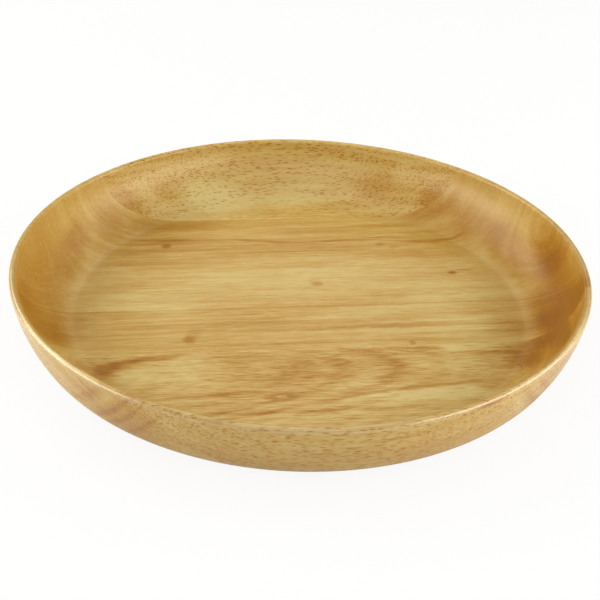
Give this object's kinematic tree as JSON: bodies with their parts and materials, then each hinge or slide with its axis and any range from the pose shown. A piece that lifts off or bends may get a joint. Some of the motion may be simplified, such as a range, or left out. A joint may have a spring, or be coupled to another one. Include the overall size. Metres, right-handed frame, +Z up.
{
  "type": "wooden plate",
  "caption": "Round turned wooden plate with a flat floor, a coved wall rising to a slim rounded lip, and a flat foot ring round a shallow recess.",
  "frame": {"origin": "middle of the foot, on the surface that the plate stands on", "axes": "+Z up along the turning axis, +X to the right along the boards' long direction, +Y away from the viewer"},
  "size_m": [0.3, 0.3, 0.038],
  "materials": {
    "wood": "satin lacquered light hardwood, edge-glued boards with fine dark pores"
  },
  "bodies": {
    "root": {"plate": "wood"}
  },
  "joints": []
}
